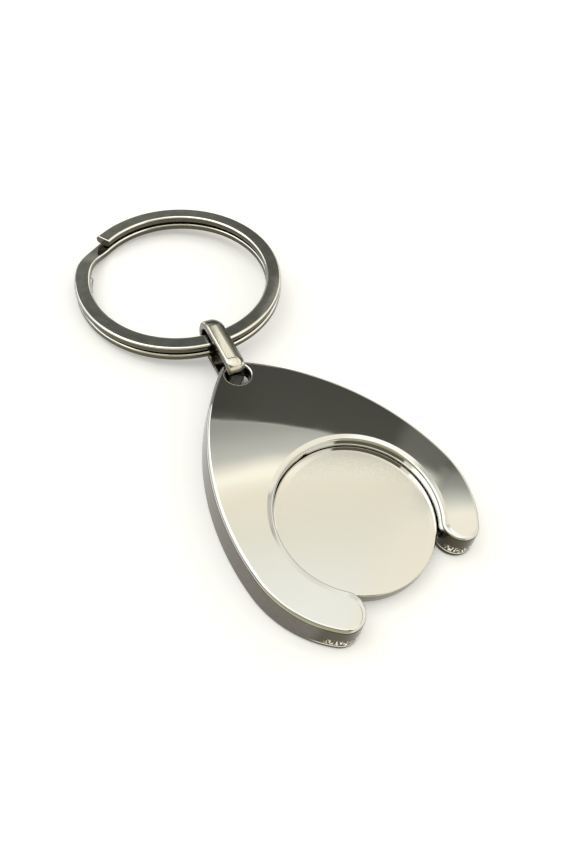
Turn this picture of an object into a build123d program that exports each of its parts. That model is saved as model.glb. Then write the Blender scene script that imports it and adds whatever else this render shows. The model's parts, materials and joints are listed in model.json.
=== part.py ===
"""Coin holder keyring: a die-cast horseshoe that keeps a trolley token, a strap link and a split ring.

The frame: the origin is on the underside, in the axis of the coin recess, +Y points at the key
hole in the tip, +Z is up and out of the recess. Lengths are in millimetres, angles in degrees.
"""

import math
import os

from build123d import *

# Coin token: a blank disc of the size of a common trolley coin
coin_diameter = 23.25
coin_thickness = 2.10
coin_edge_chamfer = 0.25

# Holder body seen from above
recess_clearance = 0.32
arm_width = 5.85
shoulder_radius = 16.0
shoulder_centre_y = -0.43
flank_radius = 40.0
arm_end_angle = 41.5
crown_length = 16.75
eyelet_radius = 2.80

# Holder body in section
body_thickness = 5.00
foot_flare = 0.55
bottom_rounding = 0.50
bevel_depth = 0.20
recess_bevel_width = 0.90
outer_bevel_width = 0.28
ledge_width = 1.20
ledge_thickness = 1.10
ledge_end_angle = 3.0
ledge_root = 0.50

# Key hole in the tip
hole_diameter = 3.80
countersink = 0.40
lug_thickness = 2.60
relief_radius = 4.30

# Magnet behind the crown of the recess
magnet_diameter = 2.00
magnet_length = 3.00
magnet_clearance = 0.02
magnet_set_back = 0.05

# Connector link: a strap bent into a long loop with a butt seam
strap_width = 3.10
strap_thickness = 1.20
strap_edge_rounding = 0.42
link_bend_radius = 2.00
link_hole_axis = 2.60
link_ring_axis = 8.24
link_heading = 12.0
seam_gap = 0.12

# Split ring: a flat wire wound twice, with one ramp between the turns
ring_outer_diameter = 35.0
wire_width = 2.65
wire_thickness = 1.20
wire_edge_rounding = 0.25
turn_gap = 0.42
ramp_angle = 30.0
cut_angle = 35.0
ring_tilt = 2.35
ring_roll = 4.0

# Allowance by which cutting tools run past what they cut
overrun = 0.50

# How finely edges are told apart, the wire's ramp is shaped and its gap is measured
edge_tolerance = 0.02
ramp_stations = 6
gap_step_angle = 2.5

# Sizes that follow from the ones above
coin_radius = coin_diameter / 2
recess_radius = coin_radius + recess_clearance
body_half_width = recess_radius + arm_width
hole_y = recess_radius + crown_length
hole_radius = hole_diameter / 2
bevel_z = body_thickness - bevel_depth
lug_z = body_thickness - lug_thickness
lug_middle_z = lug_z + lug_thickness / 2
ring_outer_radius = ring_outer_diameter / 2
ring_middle_radius = ring_outer_radius - wire_width / 2
turn_pitch = wire_thickness + turn_gap
ring_height = turn_pitch + wire_thickness


def polar(radius, angle):
    """The point at this radius and angle from the origin."""
    turn = math.radians(angle)
    return Vector(radius * math.cos(turn), radius * math.sin(turn))


def bearing(start, end):
    """The angle of the direction from start to end."""
    return math.degrees(math.atan2(end.Y - start.Y, end.X - start.X))


def meeting(first, first_distance, second, second_distance):
    """The point at these distances from two points, to the left of the line that joins them."""
    line = second - first
    length = line.length
    along = (length**2 + first_distance**2 - second_distance**2) / (2 * length)
    across = math.sqrt(max(first_distance**2 - along**2, 0))
    unit = line / length
    return first + unit * along + Vector(-unit.Y, unit.X) * across


def body_outline(height, outer_inset, recess_growth):
    """The horseshoe at one height, as ten tangent arcs, drawn in by its two insets."""
    recess = recess_radius + recess_growth
    shoulder = shoulder_radius - outer_inset
    flank = flank_radius - outer_inset
    eyelet = eyelet_radius - outer_inset
    origin = Vector(0, 0)
    eyelet_centre = Vector(0, hole_y)
    shoulder_centre = Vector(body_half_width - shoulder_radius, shoulder_centre_y)
    flank_centre = meeting(shoulder_centre, flank - shoulder, eyelet_centre, flank - eyelet)

    # The arm's end is a full round that touches both the recess and the shoulder
    ray = polar(1, -arm_end_angle)
    reach = ray.X * shoulder_centre.X + ray.Y * shoulder_centre.Y
    offset = shoulder_centre.length
    tip = (shoulder**2 - recess**2 + 2 * recess * reach - offset**2) / (2 * (recess + shoulder - reach))
    tip_centre = ray * (recess + tip)

    tip_start = 180 - arm_end_angle
    tip_end = bearing(shoulder_centre, tip_centre)
    flank_start = bearing(flank_centre, shoulder_centre)
    flank_end = bearing(flank_centre, eyelet_centre)
    right = [
        (tip_centre, tip, tip_start, tip_end + 360),
        (shoulder_centre, shoulder, tip_end, flank_start),
        (flank_centre, flank, flank_start, flank_end),
        (eyelet_centre, eyelet, flank_end, 90),
    ]
    left = [(Vector(-c.X, c.Y), r, 180 - end, 180 - start) for c, r, start, end in reversed(right)]
    inner = [
        (origin, recess, 180 + arm_end_angle, 90),
        (origin, recess, 90, -arm_end_angle),
    ]
    edges = [CenterArc(c, r, start, end - start) for c, r, start, end in right + left + inner]
    return Pos(0, 0, height) * Face(Wire(edges))


def recess_ledge():
    """The thin lip under the rim of the coin, from arm to arm."""
    start = ledge_end_angle - arm_end_angle
    sweep = 180 - 2 * start
    lip_radius = recess_radius - ledge_width
    section = Pos(lip_radius, 0) * Rectangle(
        ledge_width + ledge_root, ledge_thickness, align=(Align.MIN, Align.MIN)
    )
    return Rot(0, 0, start) * revolve(Plane.XZ * section, Axis.Z, sweep)


def key_hole():
    """The countersunk hole through the lug, and the round relief below the lug."""
    hole = Cylinder(hole_radius, body_thickness + 2 * overrun)
    sink = Cone(hole_radius, hole_radius + countersink, countersink)
    top_sink = Pos(0, 0, body_thickness - countersink / 2) * sink
    bottom_sink = Pos(0, 0, lug_z + countersink / 2) * Rot(180, 0, 0) * sink
    relief = Pos(0, 0, -overrun) * Cylinder(
        relief_radius, lug_z + overrun, align=(Align.CENTER, Align.CENTER, Align.MIN)
    )
    return Pos(0, hole_y, 0) * (Pos(0, 0, body_thickness / 2) * hole + top_sink + bottom_sink + relief)


def magnet_pocket(radius, depth, set_back):
    """A round pin shape that lies along Y behind the crown of the recess, level with the coin."""
    middle = ledge_thickness + coin_thickness / 2
    pin = Cylinder(radius, depth, align=(Align.CENTER, Align.CENTER, Align.MIN))
    return Pos(0, recess_radius + set_back, middle) * Rot(-90, 0, 0) * pin


def holder_body():
    """The casting: sides that widen to a rounded foot, and a wide bevel round the recess."""
    foot = body_outline(0, -foot_flare, 0)
    brim = body_outline(bevel_z, 0, 0)
    top = body_outline(body_thickness, outer_bevel_width, recess_bevel_width)
    casting = loft([foot, brim], ruled=True)
    lower_edges = casting.faces().sort_by(Axis.Z)[0].edges()
    outside = [edge for edge in lower_edges if (edge @ 0.5).length > recess_radius + edge_tolerance]
    casting = fillet(outside, bottom_rounding)
    casting += loft([brim, top], ruled=True)
    casting += recess_ledge()
    casting -= key_hole()
    back = magnet_length + magnet_set_back
    casting -= magnet_pocket(magnet_diameter / 2 + magnet_clearance, back + overrun, -overrun)
    return casting


def retaining_magnet():
    """The pin magnet at the bottom of its pocket, just behind the wall of the recess."""
    return magnet_pocket(magnet_diameter / 2, magnet_length, magnet_set_back)


def coin_token():
    """The blank disc, lying on the ledge."""
    disc = Cylinder(coin_radius, coin_thickness, align=(Align.CENTER, Align.CENTER, Align.MIN))
    disc = chamfer(disc.edges().filter_by(GeomType.CIRCLE), coin_edge_chamfer)
    return Pos(0, 0, ledge_thickness) * disc


def ring_frame():
    """Where the ring lies: its far side on the table, its near side held up in the link."""
    tilt = math.radians(ring_tilt)
    roll = math.radians(ring_roll)
    heading = polar(1, 90 - link_heading)
    outward = heading * math.cos(tilt) + Vector(0, 0, -math.sin(tilt))
    sideways = outward.cross(Vector(0, 0, 1)).normalized()
    normal = sideways.cross(outward) * math.cos(roll) - sideways * math.sin(roll)
    lean = math.acos(normal.Z)
    corner = ring_outer_radius - wire_edge_rounding
    foot = corner * math.sin(lean) + wire_edge_rounding * (1 - math.cos(lean))
    height = foot + ring_height / 2 * math.cos(lean)
    near = Vector(0, hole_y) + heading * link_ring_axis
    centre = near + outward * ring_middle_radius
    return Plane(origin=(centre.X, centre.Y, height), x_dir=outward, z_dir=normal)


def ring_grip(frame):
    """The middle of the ring's section where it passes through the link."""
    return frame.origin - frame.x_dir * ring_middle_radius


def link_frame(grip):
    """The link's own frame, from its bend in the key hole to its bend round the ring."""
    start = Vector(0, hole_y, lug_middle_z) + polar(1, 90 - link_heading) * link_hole_axis
    along = grip - start
    across = Vector(0, 0, 1).cross(along).normalized()
    return Plane(origin=start, x_dir=along, z_dir=along.cross(across))


def connector_link(frame, length):
    """The strap loop: a slot-shaped tube section with soft edges and a seam in its lower limb."""
    middle = length / 2
    outer = SlotCenterToCenter(length, 2 * (link_bend_radius + strap_thickness))
    inner = SlotCenterToCenter(length, 2 * link_bend_radius)
    profile = Plane.XZ * (Pos(middle, 0) * (outer - inner))
    loop = extrude(profile, strap_width / 2, both=True)
    sides = loop.faces().filter_by(Axis.Y)
    loop = fillet(sides.edges(), strap_edge_rounding)
    seam = Pos(middle, 0, -link_bend_radius - strap_thickness / 2) * Box(
        seam_gap, strap_width + 2 * overrun, strap_thickness + 2 * overrun
    )
    return frame * (loop - seam)


def wire_section(angle, height):
    """The flat wire's section, standing in the radial plane at this angle."""
    section = RectangleRounded(wire_width, wire_thickness, wire_edge_rounding)
    return Rot(0, 0, angle) * (Plane.XZ * (Pos(ring_middle_radius, height) * section))


def ramp_height(share):
    """The height of the wire's middle along the ramp, from the lower turn to the upper one."""
    return turn_pitch * (share * share * (3 - 2 * share) - 0.5)


def split_ring(frame):
    """Two level turns joined by a smooth ramp, all one wire."""
    turn_angle = 360 - ramp_angle
    ramp_top = cut_angle + ramp_angle
    upper = revolve(wire_section(ramp_top, turn_pitch / 2), Axis.Z, turn_angle)
    lower = revolve(wire_section(ramp_top, -turn_pitch / 2), Axis.Z, turn_angle)
    shares = [station / ramp_stations for station in range(ramp_stations + 1)]
    ramp = loft([wire_section(cut_angle + ramp_angle * share, ramp_height(share)) for share in shares])
    return frame * (upper + ramp + lower)


def wire_points(step_angle):
    """Points on the wire's skin, as (angle along the wire, upper point, lower point)."""
    points = []
    turn_angle = 360 - ramp_angle
    along = 0
    while along <= turn_angle + 360:
        share = min(max((turn_angle + ramp_angle - along) / ramp_angle, 0), 1)
        middle = ramp_height(share)
        for radius in (ring_middle_radius - wire_width / 2, ring_middle_radius + wire_width / 2):
            place = polar(radius, cut_angle - along)
            upper = place + Vector(0, 0, middle + wire_thickness / 2)
            lower = place + Vector(0, 0, middle - wire_thickness / 2)
            points.append((along, upper, lower))
        along += step_angle
    return points


def least_gap():
    """The least distance from one turn of the wire to the next, measured on its edges."""
    points = wire_points(gap_step_angle)
    least = ring_outer_diameter
    for first, _, underside in points:
        for second, top_side, _ in points:
            if second - first > 180:
                least = min(least, (underside - top_side).length)
    return least


def place_text(place):
    """A place in words for the printed list."""
    return f"({place.X:.3f}, {place.Y:.3f}, {place.Z:.3f})"


def main():
    """Builds every piece in its place and writes one file each."""
    ring_place = ring_frame()
    grip = ring_grip(ring_place)
    link_place = link_frame(grip)
    link_length = (grip - link_place.origin).length
    pieces = {
        "holder_body": holder_body(),
        "retaining_magnet": retaining_magnet(),
        "coin_token": coin_token(),
        "connector_link": connector_link(link_place.location, link_length),
        "split_ring": split_ring(ring_place.location),
    }
    os.makedirs("parts", exist_ok=True)
    for name, piece in pieces.items():
        export_step(piece, f"parts/{name}.step")
        print(name, "volume", round(piece.volume, 2), "valid", piece.is_valid)
    print("least gap of the ring's wire to itself", round(least_gap(), 3))
    print("link hinge at", place_text(link_place.origin), "ring hinge at", place_text(grip))
    print("ring centre", place_text(ring_place.origin), "its axis", place_text(ring_place.z_dir))


main()
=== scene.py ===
"""The dressed coin holder keyring: chromed casting, mirror token, nickel link, satin split ring."""

import json
import math

import bmesh
import bpy
from mathutils import Matrix, Vector


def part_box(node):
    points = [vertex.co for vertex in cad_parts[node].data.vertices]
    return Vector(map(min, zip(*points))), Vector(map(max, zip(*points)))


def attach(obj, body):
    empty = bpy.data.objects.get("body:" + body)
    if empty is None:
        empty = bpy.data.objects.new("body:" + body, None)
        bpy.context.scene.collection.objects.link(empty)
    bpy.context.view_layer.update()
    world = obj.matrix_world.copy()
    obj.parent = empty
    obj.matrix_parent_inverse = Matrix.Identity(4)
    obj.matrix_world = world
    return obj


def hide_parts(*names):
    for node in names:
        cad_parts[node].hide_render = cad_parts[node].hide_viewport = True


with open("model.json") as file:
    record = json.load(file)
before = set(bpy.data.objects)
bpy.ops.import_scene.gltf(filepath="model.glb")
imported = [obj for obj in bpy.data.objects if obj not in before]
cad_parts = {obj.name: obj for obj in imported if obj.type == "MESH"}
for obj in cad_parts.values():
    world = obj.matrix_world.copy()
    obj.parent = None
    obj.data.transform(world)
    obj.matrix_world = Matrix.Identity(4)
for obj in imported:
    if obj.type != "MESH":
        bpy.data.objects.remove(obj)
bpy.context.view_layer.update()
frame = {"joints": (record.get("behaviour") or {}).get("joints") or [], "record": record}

MM = 0.001


def node_box(name):
    """Lowest and highest corner of a part at rest."""
    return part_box(name)


def joint_place(name):
    """Where a joint's axis lies at rest."""
    for joint in frame["joints"]:
        if joint["name"] == name:
            return Vector(joint["pos_m"])
    raise KeyError(name)


def mount(name):
    """A mount of the part, by its name."""
    for entry in frame["record"]["mounts"]:
        if entry["name"] == name:
            return entry
    raise KeyError(name)


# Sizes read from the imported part
body_low, body_high = node_box("holder_body")
coin_low, coin_high = node_box("coin_token")
magnet_low, magnet_high = node_box("retaining_magnet")
BODY_THICKNESS = body_high.z - body_low.z
COIN_RADIUS = (coin_high.x - coin_low.x) / 2

# Sizes of the casting that its box doesn't give
RECESS_RADIUS = COIN_RADIUS + 0.32 * MM
BODY_HALF_WIDTH = RECESS_RADIUS + 5.85 * MM
SHOULDER_RADIUS = 16.0 * MM
SHOULDER_CENTRE_Y = -0.43 * MM
FLANK_RADIUS = 40.0 * MM
ARM_END_ANGLE = 41.5
EYELET_RADIUS = 2.80 * MM
EYELET_Y = RECESS_RADIUS + 16.75 * MM
FOOT_FLARE = 0.55 * MM
BOTTOM_ROUNDING = 0.50 * MM
TOP_ROUNDING = 0.55 * MM
BEVEL_DEPTH = 0.20 * MM
BEVEL_WIDTH = 0.90 * MM
RECESS_ROUNDING = 0.40 * MM
LEDGE_WIDTH = 1.20 * MM
LEDGE_THICKNESS = coin_low.z
LEDGE_END_ANGLE = 3.0
HOLE_RADIUS = 1.90 * MM
COUNTERSINK = 0.42 * MM
LUG_THICKNESS = 2.60 * MM
RELIEF_RADIUS = 4.30 * MM
EDGE_SOFTNESS = 0.05 * MM
CUT_MARGIN = 0.12 * MM

# The token's edge, and how far the magnet draws it to the crown of the recess
COIN_EDGE = 0.30 * MM
COIN_SWELL = 0.24 * MM
COIN_DRAW = (0, 0.03 * MM, 0)

# The link's strap
STRAP_WIDTH = 3.10 * MM
STRAP_THICKNESS = 1.20 * MM
STRAP_LEFT_EDGE = 0.45 * MM
STRAP_SHOULDER_WIDTH = 1.00 * MM
STRAP_SHOULDER_DROP = 0.75 * MM
STRAP_SHOULDER_EDGE = 0.50 * MM
STRAP_INNER_EDGE = 0.20 * MM
LINK_HALF_OPENING = 2.00 * MM
LINK_NEAR_BEND = 0.80 * MM
LINK_FAR_BEND = 2.00 * MM
LINK_NEAR_REACH = 0.50 * MM
LINK_FAR_REACH = 0.75 * MM
LINK_LIFT = 0.12 * MM
SEAM_GAP = 0.12 * MM

# The split ring's wire
RING_OUTER_RADIUS = 17.5 * MM
WIRE_WIDTH = 2.65 * MM
WIRE_THICKNESS = 1.20 * MM
WIRE_ROUNDING = 0.48 * MM
TURN_GAP = 0.42 * MM
RAMP_ANGLE = 30.0
CUT_ANGLE = 35.0

# Length of a facet along the curves of the outline
FACET = 0.35 * MM


def linear(value):
    """A channel of an sRGB colour as a linear value."""
    return value / 12.92 if value <= 0.04045 else ((value + 0.055) / 1.055) ** 2.4


def colour(code, strength=1.0):
    """A linear colour from an sRGB hex code."""
    parts = [int(code[i : i + 2], 16) / 255 for i in (1, 3, 5)]
    return (*(linear(part) * strength for part in parts), 1.0)


def add(tree, kind, inputs=None, **settings):
    """Adds a node with its settings, values and links, and returns it."""
    node = tree.nodes.new(kind)
    for name, value in settings.items():
        setattr(node, name, value)
    for name, value in (inputs or {}).items():
        if isinstance(value, bpy.types.NodeSocket):
            tree.links.new(value, node.inputs[name])
        else:
            node.inputs[name].default_value = value
    return node


def new_material(name):
    """An empty material, its node tree and its principled shader."""
    material = bpy.data.materials.new(name)
    material.use_nodes = True
    tree = material.node_tree
    tree.nodes.clear()
    shader = add(tree, "ShaderNodeBsdfPrincipled")
    add(tree, "ShaderNodeOutputMaterial", {"Surface": shader.outputs["BSDF"]})
    return material, tree, shader


def between(tree, value, low, high, to_low=0.0, to_high=1.0):
    """A value moved smoothly from one range to another."""
    node = add(
        tree,
        "ShaderNodeMapRange",
        {"Value": value, "From Min": low, "From Max": high, "To Min": to_low, "To Max": to_high},
        interpolation_type="SMOOTHSTEP",
    )
    return node.outputs["Result"]


def product(tree, first, second):
    """Two values multiplied."""
    return add(tree, "ShaderNodeMath", {0: first, 1: second}, operation="MULTIPLY").outputs[0]


def band(tree, value, low, low_soft, high, high_soft):
    """1 where a value is between two limits, each with its own softness."""
    above = between(tree, value, low - low_soft, low + low_soft)
    below = between(tree, value, high + high_soft, high - high_soft)
    return product(tree, above, below)


def blended(tree, factor, first, second):
    """One colour over another."""
    node = add(tree, "ShaderNodeMix", {"Factor": factor, "A": first, "B": second}, data_type="RGBA")
    return node.outputs["Result"]


def from_axis(tree, place):
    """The distance of a place from the part's upright axis."""
    level = add(tree, "ShaderNodeVectorMath", {0: place, 1: (1, 1, 0)}, operation="MULTIPLY").outputs[0]
    return add(tree, "ShaderNodeVectorMath", {0: level}, operation="LENGTH").outputs["Value"]


def noise(tree, place, length, detail):
    """An uneven pattern with features of about this length."""
    inputs = {"Vector": place, "Scale": 1 / length, "Detail": detail}
    return add(tree, "ShaderNodeTexNoise", inputs).outputs["Fac"]


def leaning(tree, coordinate, direction, start, full):
    """How far a surface leans to a direction: 0 up to the cosine start, 1 from the cosine full."""
    inputs = {0: coordinate.outputs["Normal"], 1: direction}
    facing = add(tree, "ShaderNodeVectorMath", inputs, operation="DOT_PRODUCT").outputs["Value"]
    return between(tree, facing, start, full)


def larger(tree, first, second):
    """The larger of two values."""
    return add(tree, "ShaderNodeMath", {0: first, 1: second}, operation="MAXIMUM").outputs[0]


def raised(tree, height, distance, strength=1.0, below=None):
    """The normal of a finely uneven skin, laid over another one."""
    inputs = {"Height": height, "Distance": distance, "Strength": strength}
    if below is not None:
        inputs["Normal"] = below
    return add(tree, "ShaderNodeBump", inputs).outputs["Normal"]


def upright(tree, coordinate, start=0.62, full=0.40):
    """How far a surface is a wall: 0 on faces that look up, 1 on walls, foot and underside."""
    return leaning(tree, coordinate, (0, 0, 1), start, full)


def plated_metal(name, face_finish, shaded_wall_finish, wave_length, wave_height, wall_from=0.0, shaded_side=None):
    """A plated metal: polished faces with long soft waves, and less buffed walls that a painted shade makes
    greyer.

    A finish is (colour code, roughness); walls count from a distance to the part's axis, undersides
    everywhere, and a shaded side is a direction that also gets the wall's finish and its painted shade.
    """
    material, tree, shader = new_material(name)
    shader.inputs["Metallic"].default_value = 1.0
    code, roughness = face_finish
    wall_shade_code, wall_roughness = shaded_wall_finish
    coordinate = add(tree, "ShaderNodeTexCoord")
    place = coordinate.outputs["Object"]
    steep_and_shaded = upright(tree, coordinate)
    if wall_from:
        outside = between(tree, from_axis(tree, place), wall_from, wall_from + 0.35 * MM)
        below = leaning(tree, coordinate, (0, 0, -1), 0.4, 0.7)
        steep_and_shaded = larger(tree, product(tree, steep_and_shaded, outside), below)
    if shaded_side:
        steep_and_shaded = larger(tree, steep_and_shaded, leaning(tree, coordinate, shaded_side, 0.07, 0.20))
    haze = noise(tree, place, 6 * MM, 4.0)
    grain = noise(tree, place, 0.6 * MM, 3.0)
    polish = between(tree, haze, 0.3, 0.7, roughness * 0.7, roughness * 1.4)
    buffed = between(tree, grain, 0.3, 0.7, wall_roughness * 0.8, wall_roughness * 1.2)
    rough = add(tree, "ShaderNodeMix", {"Factor": steep_and_shaded, "A": polish, "B": buffed}).outputs["Result"]
    tree.links.new(rough, shader.inputs["Roughness"])
    face = blended(tree, haze, colour(code), colour(code, 0.95))
    wall = blended(tree, grain, colour(wall_shade_code, 0.70), colour(wall_shade_code, 1.25))
    # Walls, undersides and the shaded side get the darker wall colour: a painted shade
    tree.links.new(blended(tree, steep_and_shaded, face, wall), shader.inputs["Base Color"])
    waves = raised(tree, noise(tree, place, wave_length, 1.0), wave_height)
    tree.links.new(waves, shader.inputs["Normal"])
    return material


def paint_arm_end_shade_and_glints(material, from_y, flash, torn_low, torn_high):
    """Paints the ends of the arms: a dark painted shade, a painted highlight line at the parting flash and
    painted glints in specks above it, over a pitted bump.
    """
    tree = material.node_tree
    shader = next(node for node in tree.nodes if node.type == "BSDF_PRINCIPLED")
    waves = shader.inputs["Normal"].links[0].from_socket
    coordinate = add(tree, "ShaderNodeTexCoord")
    place = coordinate.outputs["Object"]
    along = add(tree, "ShaderNodeSeparateXYZ", {"Vector": place})
    end = between(tree, along.outputs["Y"], from_y + 0.7 * MM, from_y - 0.8 * MM)
    arm_end_shade_zone = product(tree, end, upright(tree, coordinate))
    line = band(tree, along.outputs["Z"], flash - 0.09 * MM, 0.03 * MM, flash + 0.09 * MM, 0.03 * MM)
    torn = band(tree, along.outputs["Z"], torn_low, 0.15 * MM, torn_high, 0.35 * MM)
    torn = product(tree, torn, between(tree, along.outputs["Y"], from_y - 0.6 * MM, from_y - 1.8 * MM))
    drawn = add(tree, "ShaderNodeVectorMath", {0: place, 1: (1, 1, 0.35)}, operation="MULTIPLY").outputs[0]
    grain = noise(tree, drawn, 0.22 * MM, 2.0)
    specks = product(tree, torn, between(tree, grain, 0.52, 0.57))
    bright = product(tree, arm_end_shade_zone, larger(tree, specks, line))
    # Painted shade darkens the ends of the arms, and painted glints and a painted highlight line lie over
    # it
    tone = shader.inputs["Base Color"].links[0].from_socket
    tone = blended(tree, arm_end_shade_zone, tone, colour("#474234"))
    tone = blended(tree, bright, tone, colour("#fff8e6"))
    tree.links.new(tone, shader.inputs["Base Color"])
    rough = shader.inputs["Roughness"].links[0].from_socket
    shine = add(tree, "ShaderNodeMix", {"Factor": bright, "A": rough, "B": 0.10}).outputs["Result"]
    tree.links.new(shine, shader.inputs["Roughness"])
    pits = raised(tree, product(tree, grain, product(tree, torn, arm_end_shade_zone)), 0.05 * MM, 1.0, waves)
    tree.links.new(pits, shader.inputs["Normal"])


def brush_round(material, centre):
    """Adds fine streaks that run round a centre, as the rolls leave them along a wire."""
    tree = material.node_tree
    shader = next(node for node in tree.nodes if node.type == "BSDF_PRINCIPLED")
    place = add(tree, "ShaderNodeTexCoord").outputs["Object"]
    reach = add(tree, "ShaderNodeVectorMath", {0: place, 1: centre}, operation="DISTANCE").outputs["Value"]
    inputs = {"W": reach, "Scale": 1 / (0.16 * MM), "Detail": 2.0}
    streak = add(tree, "ShaderNodeTexNoise", inputs, noise_dimensions="1D").outputs["Fac"]
    worn = noise(tree, place, 1.6 * MM, 2.0)
    shade = between(tree, product(tree, streak, worn), 0.16, 0.38, 0.0, 0.30)
    tone = shader.inputs["Base Color"].links[0].from_socket
    tree.links.new(blended(tree, shade, tone, colour("#575752")), shader.inputs["Base Color"])


def paint_edge_highlight(material, code, roughness):
    """Paints a highlight along the rounded edges, between the flat faces and the walls, and makes them
    smoother.
    """
    tree = material.node_tree
    shader = next(node for node in tree.nodes if node.type == "BSDF_PRINCIPLED")
    coordinate = add(tree, "ShaderNodeTexCoord")
    off_face = leaning(tree, coordinate, (0, 0, 1), 0.985, 0.93)
    off_wall = leaning(tree, coordinate, (0, 0, 1), 0.45, 0.66)
    edge = product(tree, off_face, off_wall)
    tone = shader.inputs["Base Color"].links[0].from_socket
    # The light colour on the edges is a painted highlight
    tree.links.new(blended(tree, edge, tone, colour(code)), shader.inputs["Base Color"])
    rough = shader.inputs["Roughness"].links[0].from_socket
    shine = add(tree, "ShaderNodeMix", {"Factor": edge, "A": rough, "B": roughness}).outputs["Result"]
    tree.links.new(shine, shader.inputs["Roughness"])


def token_steel(name):
    """Stamped and plated steel: a satin face inside a rim that is rubbed bright, and a painted shade on its
    edge.
    """
    material, tree, shader = new_material(name)
    shader.inputs["Metallic"].default_value = 1.0
    coordinate = add(tree, "ShaderNodeTexCoord")
    place = coordinate.outputs["Object"]
    steep_and_shaded = upright(tree, coordinate)
    rim = between(tree, from_axis(tree, place), COIN_RADIUS - 1.0 * MM, COIN_RADIUS - 0.85 * MM)
    grain = noise(tree, place, 0.25 * MM, 2.0)
    satin = between(tree, grain, 0.3, 0.7, 0.10, 0.13)
    rough = add(tree, "ShaderNodeMix", {"Factor": rim, "A": satin, "B": 0.06}).outputs["Result"]
    rough = add(tree, "ShaderNodeMix", {"Factor": steep_and_shaded, "A": rough, "B": 0.22}).outputs["Result"]
    tree.links.new(rough, shader.inputs["Roughness"])
    face = blended(tree, grain, colour("#e1e0dc"), colour("#dddcd8"))
    # The edge gets a darker colour: a painted shade
    tree.links.new(blended(tree, steep_and_shaded, face, colour("#7c7a6c")), shader.inputs["Base Color"])
    return material


def finish_mesh(bm, name, material, body, node, softness=EDGE_SOFTNESS):
    """Turns a bmesh into a smooth shaded piece that stands for a part's node."""
    mesh = bpy.data.meshes.new(name)
    bm.to_mesh(mesh)
    bm.free()
    for face in mesh.polygons:
        face.use_smooth = True
    piece = bpy.data.objects.new(name, mesh)
    bpy.context.scene.collection.objects.link(piece)
    mesh.materials.append(material)
    if softness:
        bevel = piece.modifiers.new("edge_softness", "BEVEL")
        bevel.width = softness
        bevel.segments = 2
        bevel.limit_method = "ANGLE"
        bevel.angle_limit = math.radians(28)
        bevel.use_clamp_overlap = True
    weighted = piece.modifiers.new("flat_face_shading", "WEIGHTED_NORMAL")
    weighted.mode = "FACE_AREA"
    weighted.weight = 100
    weighted.keep_sharp = True
    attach(piece, body)
    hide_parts(node)
    return piece


def polar(radius, angle):
    """The point at this radius and angle from the origin."""
    turn = math.radians(angle)
    return Vector((radius * math.cos(turn), radius * math.sin(turn)))


def bearing(start, end):
    """The angle of the direction from start to end."""
    return math.degrees(math.atan2(end.y - start.y, end.x - start.x))


def meeting(first, first_distance, second, second_distance):
    """The point at these distances from two points, to the left of the line that joins them."""
    line = second - first
    length = line.length
    along = (length**2 + first_distance**2 - second_distance**2) / (2 * length)
    across = math.sqrt(max(first_distance**2 - along**2, 0))
    unit = line / length
    return first + unit * along + Vector((-unit.y, unit.x)) * across


def outline_arcs(outer_inset, recess_growth):
    """The horseshoe as tangent arcs: (centre, radius, start angle, end angle)."""
    recess = RECESS_RADIUS + recess_growth
    shoulder = SHOULDER_RADIUS - outer_inset
    flank = FLANK_RADIUS - outer_inset
    eyelet = EYELET_RADIUS - outer_inset
    eyelet_centre = Vector((0, EYELET_Y))
    shoulder_centre = Vector((BODY_HALF_WIDTH - SHOULDER_RADIUS, SHOULDER_CENTRE_Y))
    flank_centre = meeting(shoulder_centre, flank - shoulder, eyelet_centre, flank - eyelet)
    ray = polar(1, -ARM_END_ANGLE)
    reach = ray.dot(shoulder_centre)
    offset = shoulder_centre.length
    tip = (shoulder**2 - recess**2 + 2 * recess * reach - offset**2) / (2 * (recess + shoulder - reach))
    tip_centre = ray * (recess + tip)
    tip_end = bearing(shoulder_centre, tip_centre)
    flank_start = bearing(flank_centre, shoulder_centre)
    flank_end = bearing(flank_centre, eyelet_centre)
    right = [
        (tip_centre, tip, 180 - ARM_END_ANGLE, tip_end + 360),
        (shoulder_centre, shoulder, tip_end, flank_start),
        (flank_centre, flank, flank_start, flank_end),
        (eyelet_centre, eyelet, flank_end, 90),
    ]
    left = [(Vector((-c.x, c.y)), r, 180 - end, 180 - start) for c, r, start, end in reversed(right)]
    inner = [(Vector((0, 0)), recess, 180 + ARM_END_ANGLE, -ARM_END_ANGLE)]
    return right + left + inner


# How many facets each arc of the outline has, the same at every height
ARC_FACETS = [
    max(6, math.ceil(abs(math.radians(end - start)) * radius / FACET))
    for _, radius, start, end in outline_arcs(0, 0)
]


def outline_loop(bm, height, outer_inset, recess_growth):
    """Draws the closed outline at one height and returns its edges."""
    arcs = outline_arcs(outer_inset, recess_growth)
    before = set(bm.edges)
    centre, radius, start, _ = arcs[0]
    first = centre + polar(radius, start)
    vertex = bm.verts.new((first.x, first.y, height))
    for (centre, radius, start, end), steps in zip(arcs, ARC_FACETS):
        turned = bmesh.ops.spin(
            bm,
            geom=[vertex],
            cent=(centre.x, centre.y, height),
            axis=(0, 0, 1),
            angle=math.radians(end - start),
            steps=steps,
            use_duplicate=False,
        )
        vertex = [item for item in turned["geom_last"] if isinstance(item, bmesh.types.BMVert)][0]
    edges = [edge for edge in bm.edges if edge not in before]
    vertices = list({corner for edge in edges for corner in edge.verts})
    bmesh.ops.remove_doubles(bm, verts=vertices, dist=0.001 * MM)
    return [edge for edge in bm.edges if edge not in before]


def arc_heights(low, high, steps, crowded_high):
    """Heights up a quarter round, closer together where it turns flat."""
    turns = [math.pi / 2 * step / steps for step in range(steps + 1)]
    if crowded_high:
        return [low + (high - low) * math.sin(turn) for turn in turns]
    return [low + (high - low) * (1 - math.cos(turn)) for turn in turns]


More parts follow.
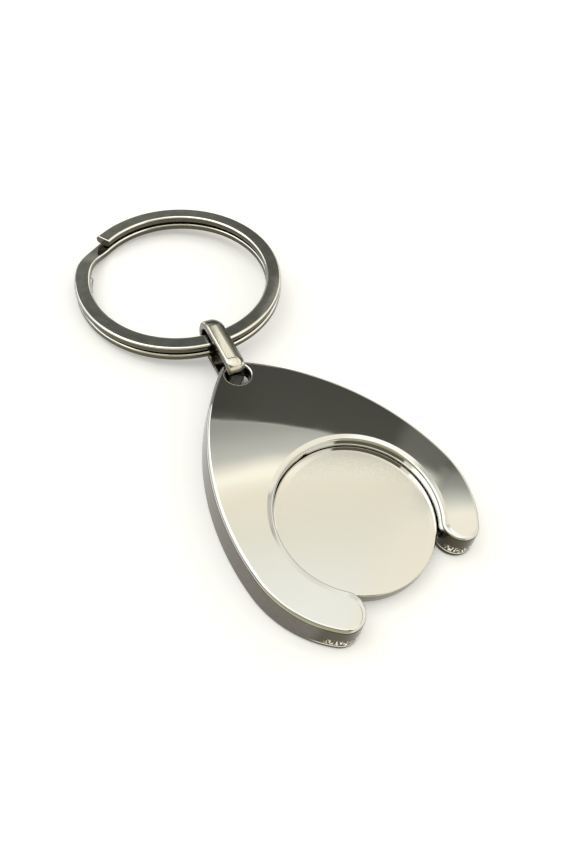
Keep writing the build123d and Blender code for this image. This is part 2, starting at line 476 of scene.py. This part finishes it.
def outer_inset(height):
    """How far the outer wall is drawn in at a height: flare, foot rounding and top rounding."""
    inset = -FOOT_FLARE * max(1 - height / (BODY_THICKNESS - BEVEL_DEPTH), 0)
    if height < BOTTOM_ROUNDING:
        inset += BOTTOM_ROUNDING - math.sqrt(BOTTOM_ROUNDING**2 - (BOTTOM_ROUNDING - height) ** 2)
    rise = height - (BODY_THICKNESS - TOP_ROUNDING)
    if rise > 0:
        inset += TOP_ROUNDING - math.sqrt(max(TOP_ROUNDING**2 - rise**2, 0))
    return inset


def recess_growth(height):
    """How far the recess has opened at a height: straight wall, rounded edge, then the wide flat bevel."""
    slope = math.atan2(BEVEL_DEPTH, BEVEL_WIDTH)
    corner = BODY_THICKNESS - BEVEL_DEPTH
    reach = RECESS_ROUNDING * math.tan((math.pi / 2 - slope) / 2)
    start = corner - reach
    end = corner + reach * math.sin(slope)
    if height <= start:
        return 0.0
    if height < end:
        return RECESS_ROUNDING - math.sqrt(max(RECESS_ROUNDING**2 - (height - start) ** 2, 0))
    return BEVEL_WIDTH * (height - corner) / BEVEL_DEPTH


def casting_levels():
    """Heights of the casting's skin, with how far its outline is drawn in at each."""
    heights = arc_heights(0, BOTTOM_ROUNDING, 6, False)
    heights += arc_heights(BODY_THICKNESS - TOP_ROUNDING, BODY_THICKNESS, 8, True)
    heights += arc_heights(4.479 * MM, 4.870 * MM, 6, True)
    # Two loops beside the lug's underside keep the wall's shading even round that cut
    lug = BODY_THICKNESS - LUG_THICKNESS
    heights += [lug - CUT_MARGIN, lug + CUT_MARGIN]
    levels = []
    for height in sorted(heights):
        if not levels or height - levels[-1][0] > 0.004 * MM:
            levels.append((height, outer_inset(height), recess_growth(height)))
    return levels


def solid_of_revolution(bm, points, angle=360.0, steps=96):
    """Spins a profile of (radius, height) points about the Z axis."""
    chain = [bm.verts.new((radius, 0, height)) for radius, height in points]
    edges = [bm.edges.new(pair) for pair in zip(chain, chain[1:])]
    bmesh.ops.spin(
        bm,
        geom=chain + edges,
        cent=(0, 0, 0),
        axis=(0, 0, 1),
        angle=math.radians(angle),
        steps=steps,
        use_merge=angle == 360.0,
        use_duplicate=False,
    )
    bmesh.ops.remove_doubles(bm, verts=bm.verts[:], dist=0.0005 * MM)
    bmesh.ops.recalc_face_normals(bm, faces=bm.faces[:])


def tool_object(bm, name):
    """A loose object for one cut or join."""
    mesh = bpy.data.meshes.new(name)
    bm.to_mesh(mesh)
    bm.free()
    tool = bpy.data.objects.new(name, mesh)
    bpy.context.scene.collection.objects.link(tool)
    return tool


def combined(base, steps):
    """The mesh of a base object after joining and cutting with tools, as a new bmesh."""
    for operation, tool in steps:
        modifier = base.modifiers.new(tool.name, "BOOLEAN")
        modifier.operation = operation
        modifier.solver = "EXACT"
        modifier.object = tool
    depsgraph = bpy.context.evaluated_depsgraph_get()
    result = bpy.data.meshes.new_from_object(base.evaluated_get(depsgraph))
    bm = bmesh.new()
    bm.from_mesh(result)
    for item in [base] + [tool for _, tool in steps]:
        bpy.data.objects.remove(item)
    bpy.data.meshes.remove(result)
    return bm


def casting_block():
    """The horseshoe with its drafted wall, rounded edges and recess bevel."""
    bm = bmesh.new()
    loops = [outline_loop(bm, *level) for level in casting_levels()]
    for lower, upper in zip(loops, loops[1:]):
        bmesh.ops.bridge_loops(bm, edges=lower + upper)
    for loop in (loops[0], loops[-1]):
        bmesh.ops.contextual_create(bm, geom=loop)
    bmesh.ops.recalc_face_normals(bm, faces=bm.faces[:])
    return tool_object(bm, "casting_block")


def ledge_ring():
    """The lip that the token lies on, rooted in the casting."""
    bm = bmesh.new()
    root = 0.5 * MM
    inner = RECESS_RADIUS - LEDGE_WIDTH
    outer = RECESS_RADIUS + root
    corners = [(inner, 0), (outer, 0), (outer, LEDGE_THICKNESS), (inner, LEDGE_THICKNESS)]
    section = bm.faces.new([bm.verts.new((radius, 0, height)) for radius, height in corners])
    start = LEDGE_END_ANGLE - ARM_END_ANGLE
    turn = Matrix.Rotation(math.radians(start), 3, "Z")
    bmesh.ops.rotate(bm, verts=bm.verts[:], cent=(0, 0, 0), matrix=turn)
    turned = bmesh.ops.spin(
        bm,
        geom=[section],
        cent=(0, 0, 0),
        axis=(0, 0, 1),
        angle=math.radians(180 - 2 * start),
        steps=180,
        use_duplicate=False,
    )
    bmesh.ops.recalc_face_normals(bm, faces=bm.faces[:])
    return tool_object(bm, "ledge_ring")


def key_hole_tool():
    """The hole, its two countersinks and the relief below the lug, as one spun cutter."""
    bm = bmesh.new()
    over = 0.5 * MM
    lug = BODY_THICKNESS - LUG_THICKNESS
    flare = HOLE_RADIUS + COUNTERSINK
    turns = [math.pi / 2 * step / 6 for step in range(7)]
    lower = [(flare - COUNTERSINK * math.sin(t), lug + COUNTERSINK * (1 - math.cos(t))) for t in turns]
    upper = [(radius, BODY_THICKNESS + lug - height) for radius, height in reversed(lower)]
    points = [(0, -over), (RELIEF_RADIUS, -over), (RELIEF_RADIUS, lug)] + lower + upper
    points += [(flare, BODY_THICKNESS + over), (0, BODY_THICKNESS + over)]
    solid_of_revolution(bm, points, steps=72)
    bmesh.ops.translate(bm, verts=bm.verts[:], vec=(0, EYELET_Y, 0))
    return tool_object(bm, "key_hole_tool")


def magnet_pocket_tool():
    """The blind bore for the magnet."""
    bm = bmesh.new()
    radius = (magnet_high.x - magnet_low.x) / 2 + 0.02 * MM
    start = RECESS_RADIUS - 0.5 * MM
    points = [(0, start), (radius, start), (radius, magnet_high.y), (0, magnet_high.y)]
    solid_of_revolution(bm, points, steps=40)
    middle = (magnet_high.z + magnet_low.z) / 2
    tilt = Matrix.Rotation(math.radians(-90), 3, "X")
    bmesh.ops.rotate(bm, verts=bm.verts[:], cent=(0, 0, 0), matrix=tilt)
    bmesh.ops.translate(bm, verts=bm.verts[:], vec=(0, 0, middle))
    return tool_object(bm, "magnet_pocket_tool")


def make_casting(material):
    """The die casting."""
    bm = combined(
        casting_block(),
        [("UNION", ledge_ring()), ("DIFFERENCE", key_hole_tool()), ("DIFFERENCE", magnet_pocket_tool())],
    )
    for edge in bm.edges:
        at_top = all(abs(corner.co.z - BODY_THICKNESS) < 0.01 * MM for corner in edge.verts)
        if at_top and edge.is_manifold and edge.calc_face_angle() > math.radians(8):
            edge.smooth = False
    return finish_mesh(bm, "polished_casting", material, "holder", "holder_body")


def make_magnet(material):
    """The pin magnet in its pocket."""
    bm = bmesh.new()
    radius = (magnet_high.x - magnet_low.x) / 2
    soft = 0.1 * MM
    points = [
        (0, magnet_low.y),
        (radius - soft, magnet_low.y),
        (radius, magnet_low.y + soft),
        (radius, magnet_high.y - soft),
        (radius - soft, magnet_high.y),
        (0, magnet_high.y),
    ]
    solid_of_revolution(bm, points, steps=40)
    middle = (magnet_high.z + magnet_low.z) / 2
    tilt = Matrix.Rotation(math.radians(-90), 3, "X")
    bmesh.ops.rotate(bm, verts=bm.verts[:], cent=(0, 0, 0), matrix=tilt)
    bmesh.ops.translate(bm, verts=bm.verts[:], vec=(0, 0, middle))
    return finish_mesh(bm, "pin_magnet", material, "holder", "retaining_magnet", 0)


def make_token(material):
    """The blank token: flat faces and a softly rounded edge."""
    bm = bmesh.new()
    points = [(0, coin_low.z)]
    steps = 7
    radius = COIN_RADIUS + COIN_SWELL
    turns = [math.pi / 2 * step / steps for step in range(steps + 1)]
    corner = radius - COIN_EDGE
    low = coin_low.z + COIN_EDGE
    high = coin_high.z - COIN_EDGE
    points += [(corner + COIN_EDGE * math.sin(turn), low - COIN_EDGE * math.cos(turn)) for turn in turns]
    points += [(corner + COIN_EDGE * math.cos(turn), high + COIN_EDGE * math.sin(turn)) for turn in turns]
    points.append((0, coin_high.z))
    solid_of_revolution(bm, points, steps=240)
    bmesh.ops.translate(bm, verts=bm.verts[:], vec=COIN_DRAW)
    return finish_mesh(bm, "blank_token", material, "coin", "coin_token", 0)


def rounded_section(bm, width, thickness, rounding, centre):
    """A rounded rectangle in the XZ plane about a centre, as a closed chain of edges."""
    half_width = width / 2
    half_thickness = thickness / 2
    corners = [
        bm.verts.new((centre.x + x, 0, centre.z + z))
        for x, z in (
            (-half_width, -half_thickness),
            (half_width, -half_thickness),
            (half_width, half_thickness),
            (-half_width, half_thickness),
        )
    ]
    face = bm.faces.new(corners)
    bmesh.ops.bevel(
        bm, geom=corners, offset=rounding, segments=5, profile=0.5, affect="VERTICES", material=-1
    )
    section = [item for item in bm.faces if item.is_valid]
    edges = list(section[0].edges)
    bmesh.ops.delete(bm, geom=section, context="FACES_ONLY")
    return edges


def spin_on(bm, edges, centre, axis, angle, steps, rise=0.0):
    """Carries a section on round an axis and returns the section at its end."""
    corners = list({corner for edge in edges for corner in edge.verts})
    turned = bmesh.ops.spin(
        bm,
        geom=edges + corners,
        cent=centre,
        axis=axis,
        dvec=(0, 0, rise / steps),
        angle=math.radians(angle),
        steps=steps,
        use_duplicate=False,
    )
    return [item for item in turned["geom_last"] if isinstance(item, bmesh.types.BMEdge)]


def push_on(bm, edges, vector):
    """Carries a section straight on and returns the section at its end."""
    grown = bmesh.ops.extrude_edge_only(bm, edges=edges)["geom"]
    corners = [item for item in grown if isinstance(item, bmesh.types.BMVert)]
    bmesh.ops.translate(bm, verts=corners, vec=vector)
    last = set(corners)
    return [
        item
        for item in grown
        if isinstance(item, bmesh.types.BMEdge) and all(corner in last for corner in item.verts)
    ]


def make_ring(material):
    """The split ring: two level turns and a smooth ramp, in one wire."""
    bm = bmesh.new()
    pitch = WIRE_THICKNESS + TURN_GAP
    middle = RING_OUTER_RADIUS - WIRE_WIDTH / 2
    start = rounded_section(
        bm, WIRE_WIDTH, WIRE_THICKNESS, WIRE_ROUNDING, Vector((middle, 0, -pitch / 2))
    )
    turn = Matrix.Rotation(math.radians(CUT_ANGLE + RAMP_ANGLE), 3, "Z")
    bmesh.ops.rotate(bm, verts=bm.verts[:], cent=(0, 0, 0), matrix=turn)
    bmesh.ops.contextual_create(bm, geom=start)
    axis = (0, 0, 1)
    centre = (0, 0, 0)
    edges = spin_on(bm, start, centre, axis, 360 - RAMP_ANGLE, 264)
    steps = 30
    for step in range(steps):
        share = step / steps
        after = (step + 1) / steps
        rise = pitch * (after * after * (3 - 2 * after) - share * share * (3 - 2 * share))
        edges = spin_on(bm, edges, centre, axis, RAMP_ANGLE / steps, 1, rise)
    edges = spin_on(bm, edges, centre, axis, 360 - RAMP_ANGLE, 264)
    bmesh.ops.contextual_create(bm, geom=edges)
    bmesh.ops.recalc_face_normals(bm, faces=bm.faces[:])
    entry = mount("key_ring")
    origin = Vector(entry["pos_m"])
    normal = Vector(entry["axis"]).normalized()
    outward = origin - joint_place("ring_swing")
    outward = (outward - normal * outward.dot(normal)).normalized()
    across = normal.cross(outward)
    place = Matrix((outward, across, normal)).transposed().to_4x4()
    place.translation = origin
    bm.transform(place)
    return finish_mesh(bm, "wound_ring", material, "ring", "split_ring", 0)


def strap_section(bm):
    """The strap's section in the XZ plane: a flat back, and a shoulder that slopes off to the right."""
    half = STRAP_WIDTH / 2
    corners = [
        (-half, 0, STRAP_INNER_EDGE),
        (half, 0, STRAP_INNER_EDGE),
        (half, STRAP_THICKNESS - STRAP_SHOULDER_DROP, STRAP_INNER_EDGE),
        (half - STRAP_SHOULDER_WIDTH, STRAP_THICKNESS, STRAP_SHOULDER_EDGE),
        (-half, STRAP_THICKNESS, STRAP_LEFT_EDGE),
    ]
    points = [bm.verts.new((x, 0, z)) for x, z, _ in corners]
    bm.faces.new(points)
    for point, (_, _, rounding) in zip(points, corners):
        bmesh.ops.bevel(
            bm, geom=[point], offset=rounding, segments=6, profile=0.5, affect="VERTICES", material=-1
        )
    bmesh.ops.delete(bm, geom=bm.faces[:], context="FACES_ONLY")
    return bm.edges[:]


def make_link(material):
    """The strap link: a strap bent into a long loop, with the seam in its lower limb."""
    bm = bmesh.new()
    start_place = joint_place("link_swing")
    grip = joint_place("ring_swing") + Vector((0, 0, LINK_LIFT))
    along = (grip - start_place).normalized()
    length = (grip - start_place).length
    across = Vector((0, 0, 1)).cross(along).normalized()
    normal = along.cross(across)
    near = LINK_NEAR_REACH - LINK_HALF_OPENING + LINK_NEAR_BEND
    far = length + LINK_FAR_REACH + LINK_HALF_OPENING - LINK_FAR_BEND
    near_low = LINK_NEAR_BEND - LINK_HALF_OPENING
    far_low = LINK_FAR_BEND - LINK_HALF_OPENING
    middle = (near + far) / 2
    edges = strap_section(bm)
    turn = Matrix.Rotation(math.radians(90), 3, "Z") @ Matrix.Rotation(math.radians(180), 3, "Y")
    bmesh.ops.rotate(bm, verts=bm.verts[:], cent=(0, 0, 0), matrix=turn)
    bmesh.ops.translate(bm, verts=bm.verts[:], vec=(middle + SEAM_GAP / 2, 0, -LINK_HALF_OPENING))
    bmesh.ops.contextual_create(bm, geom=edges)
    edges = push_on(bm, edges, (far - middle - SEAM_GAP / 2, 0, 0))
    edges = spin_on(bm, edges, (far, 0, far_low), (0, 1, 0), -90, 20)
    edges = push_on(bm, edges, (0, 0, -2 * far_low))
    edges = spin_on(bm, edges, (far, 0, -far_low), (0, 1, 0), -90, 20)
    edges = push_on(bm, edges, (near - far, 0, 0))
    edges = spin_on(bm, edges, (near, 0, -near_low), (0, 1, 0), -90, 20)
    edges = push_on(bm, edges, (0, 0, 2 * near_low))
    edges = spin_on(bm, edges, (near, 0, near_low), (0, 1, 0), -90, 20)
    edges = push_on(bm, edges, (middle - SEAM_GAP / 2 - near, 0, 0))
    bmesh.ops.contextual_create(bm, geom=edges)
    bmesh.ops.recalc_face_normals(bm, faces=bm.faces[:])
    place = Matrix((along, across, normal)).transposed().to_4x4()
    place.translation = start_place
    bm.transform(place)
    return finish_mesh(bm, "strap_link", material, "link", "connector_link", 0)


def along(tree, direction, vector):
    """How far a direction points along a vector."""
    node = add(tree, "ShaderNodeVectorMath", {0: direction, 1: vector}, operation="DOT_PRODUCT")
    return node.outputs["Value"]


def tones(tree, value, stops):
    """A colour that changes with a value, through a list of (value, colour code)."""
    ramp = add(tree, "ShaderNodeValToRGB", {"Fac": value})
    elements = ramp.color_ramp.elements
    for place, code in stops:
        elements.new(place).color = colour(code)
    elements.remove(elements[-1])
    elements.remove(elements[0])
    return ramp.outputs["Color"]


def sector(tree, level, azimuth, half_width, softness):
    """1 inside a sector of the horizon."""
    turn = math.radians(azimuth)
    side = along(tree, level, (math.cos(turn), math.sin(turn), 0))
    outer = math.cos(math.radians(half_width + softness))
    inner = math.cos(math.radians(max(half_width - softness, 0)))
    return between(tree, side, outer, inner)


def studio_sky():
    """The studio as a mirror sees it: light walls and ceiling, a dark band far off, dark by the camera."""
    world = bpy.data.worlds.new("studio")
    bpy.context.scene.world = world
    world.use_nodes = True
    tree = world.node_tree
    tree.nodes.clear()
    direction = add(tree, "ShaderNodeTexCoord").outputs["Generated"]
    rise = add(tree, "ShaderNodeSeparateXYZ", {"Vector": direction}).outputs["Z"]
    height = add(tree, "ShaderNodeMath", {0: rise}, operation="ARCSINE").outputs[0]
    level = add(tree, "ShaderNodeVectorMath", {0: direction, 1: (1, 1, 0)}, operation="MULTIPLY").outputs[0]
    level = add(tree, "ShaderNodeVectorMath", {0: level}, operation="NORMALIZE").outputs[0]
    tone = tones(tree, along(tree, direction, SKY_TILT), SKY_TONES)
    for lean, stops, azimuth, half_width, side_soft, base_lean, base, base_soft in SKY_FIELDS:
        over = between(tree, along(tree, direction, base_lean), base - base_soft, base + base_soft)
        inside = product(tree, over, sector(tree, level, azimuth, half_width, side_soft))
        tone = blended(tree, inside, tone, tones(tree, along(tree, direction, lean), stops))
    for azimuth, half_width, side_soft, low, low_soft, high, high_soft, code in SKY_PATCHES:
        limits = [math.radians(angle) for angle in (low, low_soft, high, high_soft)]
        aside = sector(tree, level, azimuth, half_width, side_soft)
        inside = product(tree, band(tree, height, *limits), aside)
        tone = blended(tree, inside, tone, colour(code))
    light = add(tree, "ShaderNodeBackground", {"Color": tone, "Strength": SKY_STRENGTH})
    add(tree, "ShaderNodeOutputWorld", {"Surface": light.outputs[0]})


# The studio's tones against the height of a direction, leaned a little towards the camera:
# a dark band far off that ends in a sharp edge, and the light ceiling above it
SKY_TILT = (-0.075, -0.1465, 1.0)
SKY_STEP = 0.7212
SKY_TONES = (
    (0.00, "#8c8a83"),
    (0.45, "#77766f"),
    (0.60, "#5c5c56"),
    (0.66, "#464640"),
    (0.7204, "#4c4c46"),
    (0.7220, "#e2e0d6"),
    (0.752, "#fffdee"),
    (0.800, "#f3ecdc"),
    (0.865, "#e9e8df"),
    (1.00, "#eeeee8"),
)
# A grey slope that turns to cream and beige, above the dark band on the far left
FAR_LEFT_TONES = (
    (0.755, "#96968e"),
    (0.766, "#9b9b93"),
    (0.775, "#a4a49c"),
    (0.783, "#b1b1a9"),
    (0.796, "#c0c0b8"),
    (0.800, "#d7d5c9"),
    (0.805, "#ece6d6"),
    (0.809, "#f9f5e6"),
    (0.815, "#fefce8"),
    (0.820, "#f6f0de"),
    (0.826, "#eee7d5"),
    (0.836, "#e8e1ce"),
    (0.866, "#e4e1d2"),
    (0.898, "#e9e9df"),
    (0.923, "#edede5"),
)
# The softer slope from the dark band to cream on the far right
FAR_RIGHT_TONES = (
    (0.8800, "#4a4a44"),
    (0.8868, "#6d6c65"),
    (0.8918, "#868780"),
    (0.8970, "#8d8e86"),
    (0.9020, "#9b9b93"),
    (0.9068, "#b0b0a8"),
    (0.9120, "#c5c4bb"),
    (0.9165, "#dedccf"),
    (0.9207, "#f3eddd"),
    (0.945, "#efe8d6"),
    (0.990, "#f0ebdb"),
)
# Fields of tones: lean of the tones, the tones, azimuth, half width and its softness, and the
# lean, limit and softness of the line that the field begins at
SKY_FIELDS = (
    ((0.096, -0.208, 1.0), FAR_LEFT_TONES, 48, 29, 4, SKY_TILT, SKY_STEP, 0.0008),
    ((0.25, -0.267, 1.0), FAR_RIGHT_TONES, -10, 29, 1.5, (0, 0, 1), 0.774, 0.008),
)
# Patches of the studio: azimuth, half width and its softness, lowest elevation and its softness,
# highest elevation and its softness, tone
SKY_PATCHES = (
    (-17, 57, 4, 14, 3, 45, 3, "#efede3"),
    (20, 7, 4, 34, 3, 42, 3, "#d9d6cc"),
    (-16, 30, 2, 45, 1.5, 51.3, 1.6, "#c2beb5"),
    (12, 40, 8, 74, 2, 92, 1, "#fffffa"),
    (57, 6, 4, 70, 2, 75.5, 2, "#c4c4ba"),
    (57, 8, 5, 30, 5, 53.8, 0.3, "#41413b"),
    (69, 17, 3, 20, 4, 49, 2, "#6d6d66"),
    (73, 13, 4, 18, 4, 41.5, 2.5, "#85857d"),
    (49.5, 5.0, 0.6, 42.6, 0.6, 48.3, 0.3, "#ece9dc"),
    (122, 40, 4, 48, 3, 92, 1, "#fffff0"),
    (22, 3.5, 1.5, 48, 1, 53.5, 0.6, "#66665f"),
    (222, 56, 3, -5, 5, 64, 4, "#605c50"),
    (-80, 42, 5, -5, 3, 34, 5, "#dcd6c0"),
    (213, 48, 5, -5, 4, 50, 5, "#a39f80"),
)
SKY_STRENGTH = 1.3


# Where the camera sees the floor through the key hole: the lift to white leaves out this spot, a painted
# shade under the lug
HOLE_SHADE_SPOT = (2.6 * MM, EYELET_Y + 1.9 * MM, 0)


def studio_floor():
    """The pale floor, which keeps the object's shadow, shows as near white paper and has a painted shade
    under the key hole.
    """
    bm = bmesh.new()
    bmesh.ops.create_grid(bm, x_segments=2, y_segments=2, size=1.5)
    bmesh.ops.translate(bm, verts=bm.verts[:], vec=(0, 0, -0.05 * MM))
    mesh = bpy.data.meshes.new("studio_floor")
    bm.to_mesh(mesh)
    bm.free()
    floor = bpy.data.objects.new("studio_floor", mesh)
    bpy.context.scene.collection.objects.link(floor)
    material, tree, shader = new_material("matt_white_paper")
    shader.inputs["Base Color"].default_value = colour("#efefef")
    shader.inputs["Roughness"].default_value = 0.9
    shader.inputs["Emission Color"].default_value = colour("#ffffff")
    path = add(tree, "ShaderNodeLightPath").outputs
    seen = larger(tree, path["Is Camera Ray"], path["Is Glossy Ray"])
    seen = larger(tree, seen, path["Is Transmission Ray"])
    place = add(tree, "ShaderNodeTexCoord").outputs["Object"]
    inputs = {0: place, 1: HOLE_SHADE_SPOT}
    reach = add(tree, "ShaderNodeVectorMath", inputs, operation="DISTANCE").outputs["Value"]
    # Outside the spot the lift applies; inside it the floor keeps a darker painted shade
    lift_outside_hole_shade = between(tree, reach, 2.6 * MM, 3.4 * MM)
    lift = product(tree, product(tree, seen, lift_outside_hole_shade), 0.30)
    tree.links.new(lift, shader.inputs["Emission Strength"])
    mesh.materials.append(material)
    return floor


def soft_lamp(name, place, size, power, aim=(0, 0.02, 0)):
    """A square soft box."""
    lamp = bpy.data.lights.new(name, "AREA")
    lamp.shape = "SQUARE"
    lamp.size = size
    lamp.energy = power
    holder = bpy.data.objects.new(name, lamp)
    bpy.context.scene.collection.objects.link(holder)
    holder.location = place
    holder.rotation_euler = (Vector(aim) - Vector(place)).to_track_quat("-Z", "Y").to_euler()
    return holder


# The camera: where it stands, the point it looks at, its roll and its lens
CAMERA_PLACE = Vector((-43.66, -22.15, 86.26)) * MM
CAMERA_FORWARD = Vector((0.4604, 0.3601, -0.8114))
CAMERA_ROLL = 15.5
CAMERA_LENS = 28.146
SENSOR = 36.0
CAMERA_SHIFT = (-0.02546, 0.00116)


def studio_camera():
    """The camera at the photograph's viewing angle."""
    data = bpy.data.cameras.new("studio_camera")
    data.sensor_width = SENSOR
    data.lens = CAMERA_LENS
    data.shift_x, data.shift_y = CAMERA_SHIFT
    data.clip_start = 1 * MM
    camera = bpy.data.objects.new("studio_camera", data)
    bpy.context.scene.collection.objects.link(camera)
    forward = CAMERA_FORWARD.normalized()
    level = forward.cross(Vector((0, 0, 1))).normalized()
    upright = level.cross(forward)
    roll = math.radians(CAMERA_ROLL)
    right = level * math.cos(roll) + upright * math.sin(roll)
    up = upright * math.cos(roll) - level * math.sin(roll)
    place = Matrix((right, up, -forward)).transposed().to_4x4()
    place.translation = CAMERA_PLACE
    camera.matrix_world = place
    bpy.context.scene.camera = camera


# Zinc die casting, polished on a wheel and chrome plated: a mirror with slow ripples on its faces,
# and hazier walls, where the wheel doesn't press, that a painted shade makes darker
chrome = plated_metal(
    "mirror_chrome_on_zinc", ("#e3e3e0", 0.03), ("#67625b", 0.15), 11 * MM, 0.016 * MM, wall_from=12.05 * MM
)
# The runners were broken off at the ends of the arms, leaving a pitted break: a painted shade darkens the
# ends, a painted highlight draws a line at the parting flash, and painted glints above it are drawn out
# upwards
paint_arm_end_shade_and_glints(chrome, -9.6 * MM, 0.95 * MM, 1.20 * MM, 2.30 * MM)
# Blanked steel, barrel finished and plated: its faces blur what they mirror, its rim is bright
token_metal = token_steel("satin_polished_token_steel")
# Steel strap, bent and tumbled, then nickel plated on a rack: bright and faintly hammered faces, and a
# painted shade that makes the walls, the shoulder and the bend on one side dull and grey
nickel = plated_metal(
    "rack_plated_nickel_on_steel",
    ("#e6e3d8", 0.09),
    ("#6e6b63", 0.16),
    0.9 * MM,
    0.003 * MM,
    shaded_side=(0.84, 0.54, 0),
)
# Sintered magnet with a barrel plated nickel skin: a soft, even grey shine
magnet_metal = plated_metal(
    "nickel_plated_magnet", ("#c8c5bd", 0.18), ("#c8c5bd", 0.20), 1.0 * MM, 0.002 * MM
)
# Flat rolled spring wire, wound and satin nickel plated: dull grey faces, walls that a painted shade
# darkens, and a painted highlight on the edges
wire_metal = plated_metal(
    "satin_nickel_on_spring_steel", ("#b6b7b4", 0.11), ("#5a554b", 0.16), 2.5 * MM, 0.003 * MM
)
# The rolls leave fine streaks along the wire, which show as faint dark lines round the ring
brush_round(wire_metal, tuple(mount("key_ring")["pos_m"]))
# A painted highlight on the rounded edges draws a thin light line round each turn, and keys rub the edges
# smooth
paint_edge_highlight(wire_metal, "#f2f1ea", 0.08)

make_casting(chrome)
make_magnet(magnet_metal)
make_token(token_metal)
make_link(nickel)
make_ring(wire_metal)

studio_sky()
studio_floor()
soft_lamp("key_lamp", (-0.30, 0.42, 0.62), 0.9, 2.6)
studio_camera()
bpy.context.scene.view_settings.view_transform = "Standard"
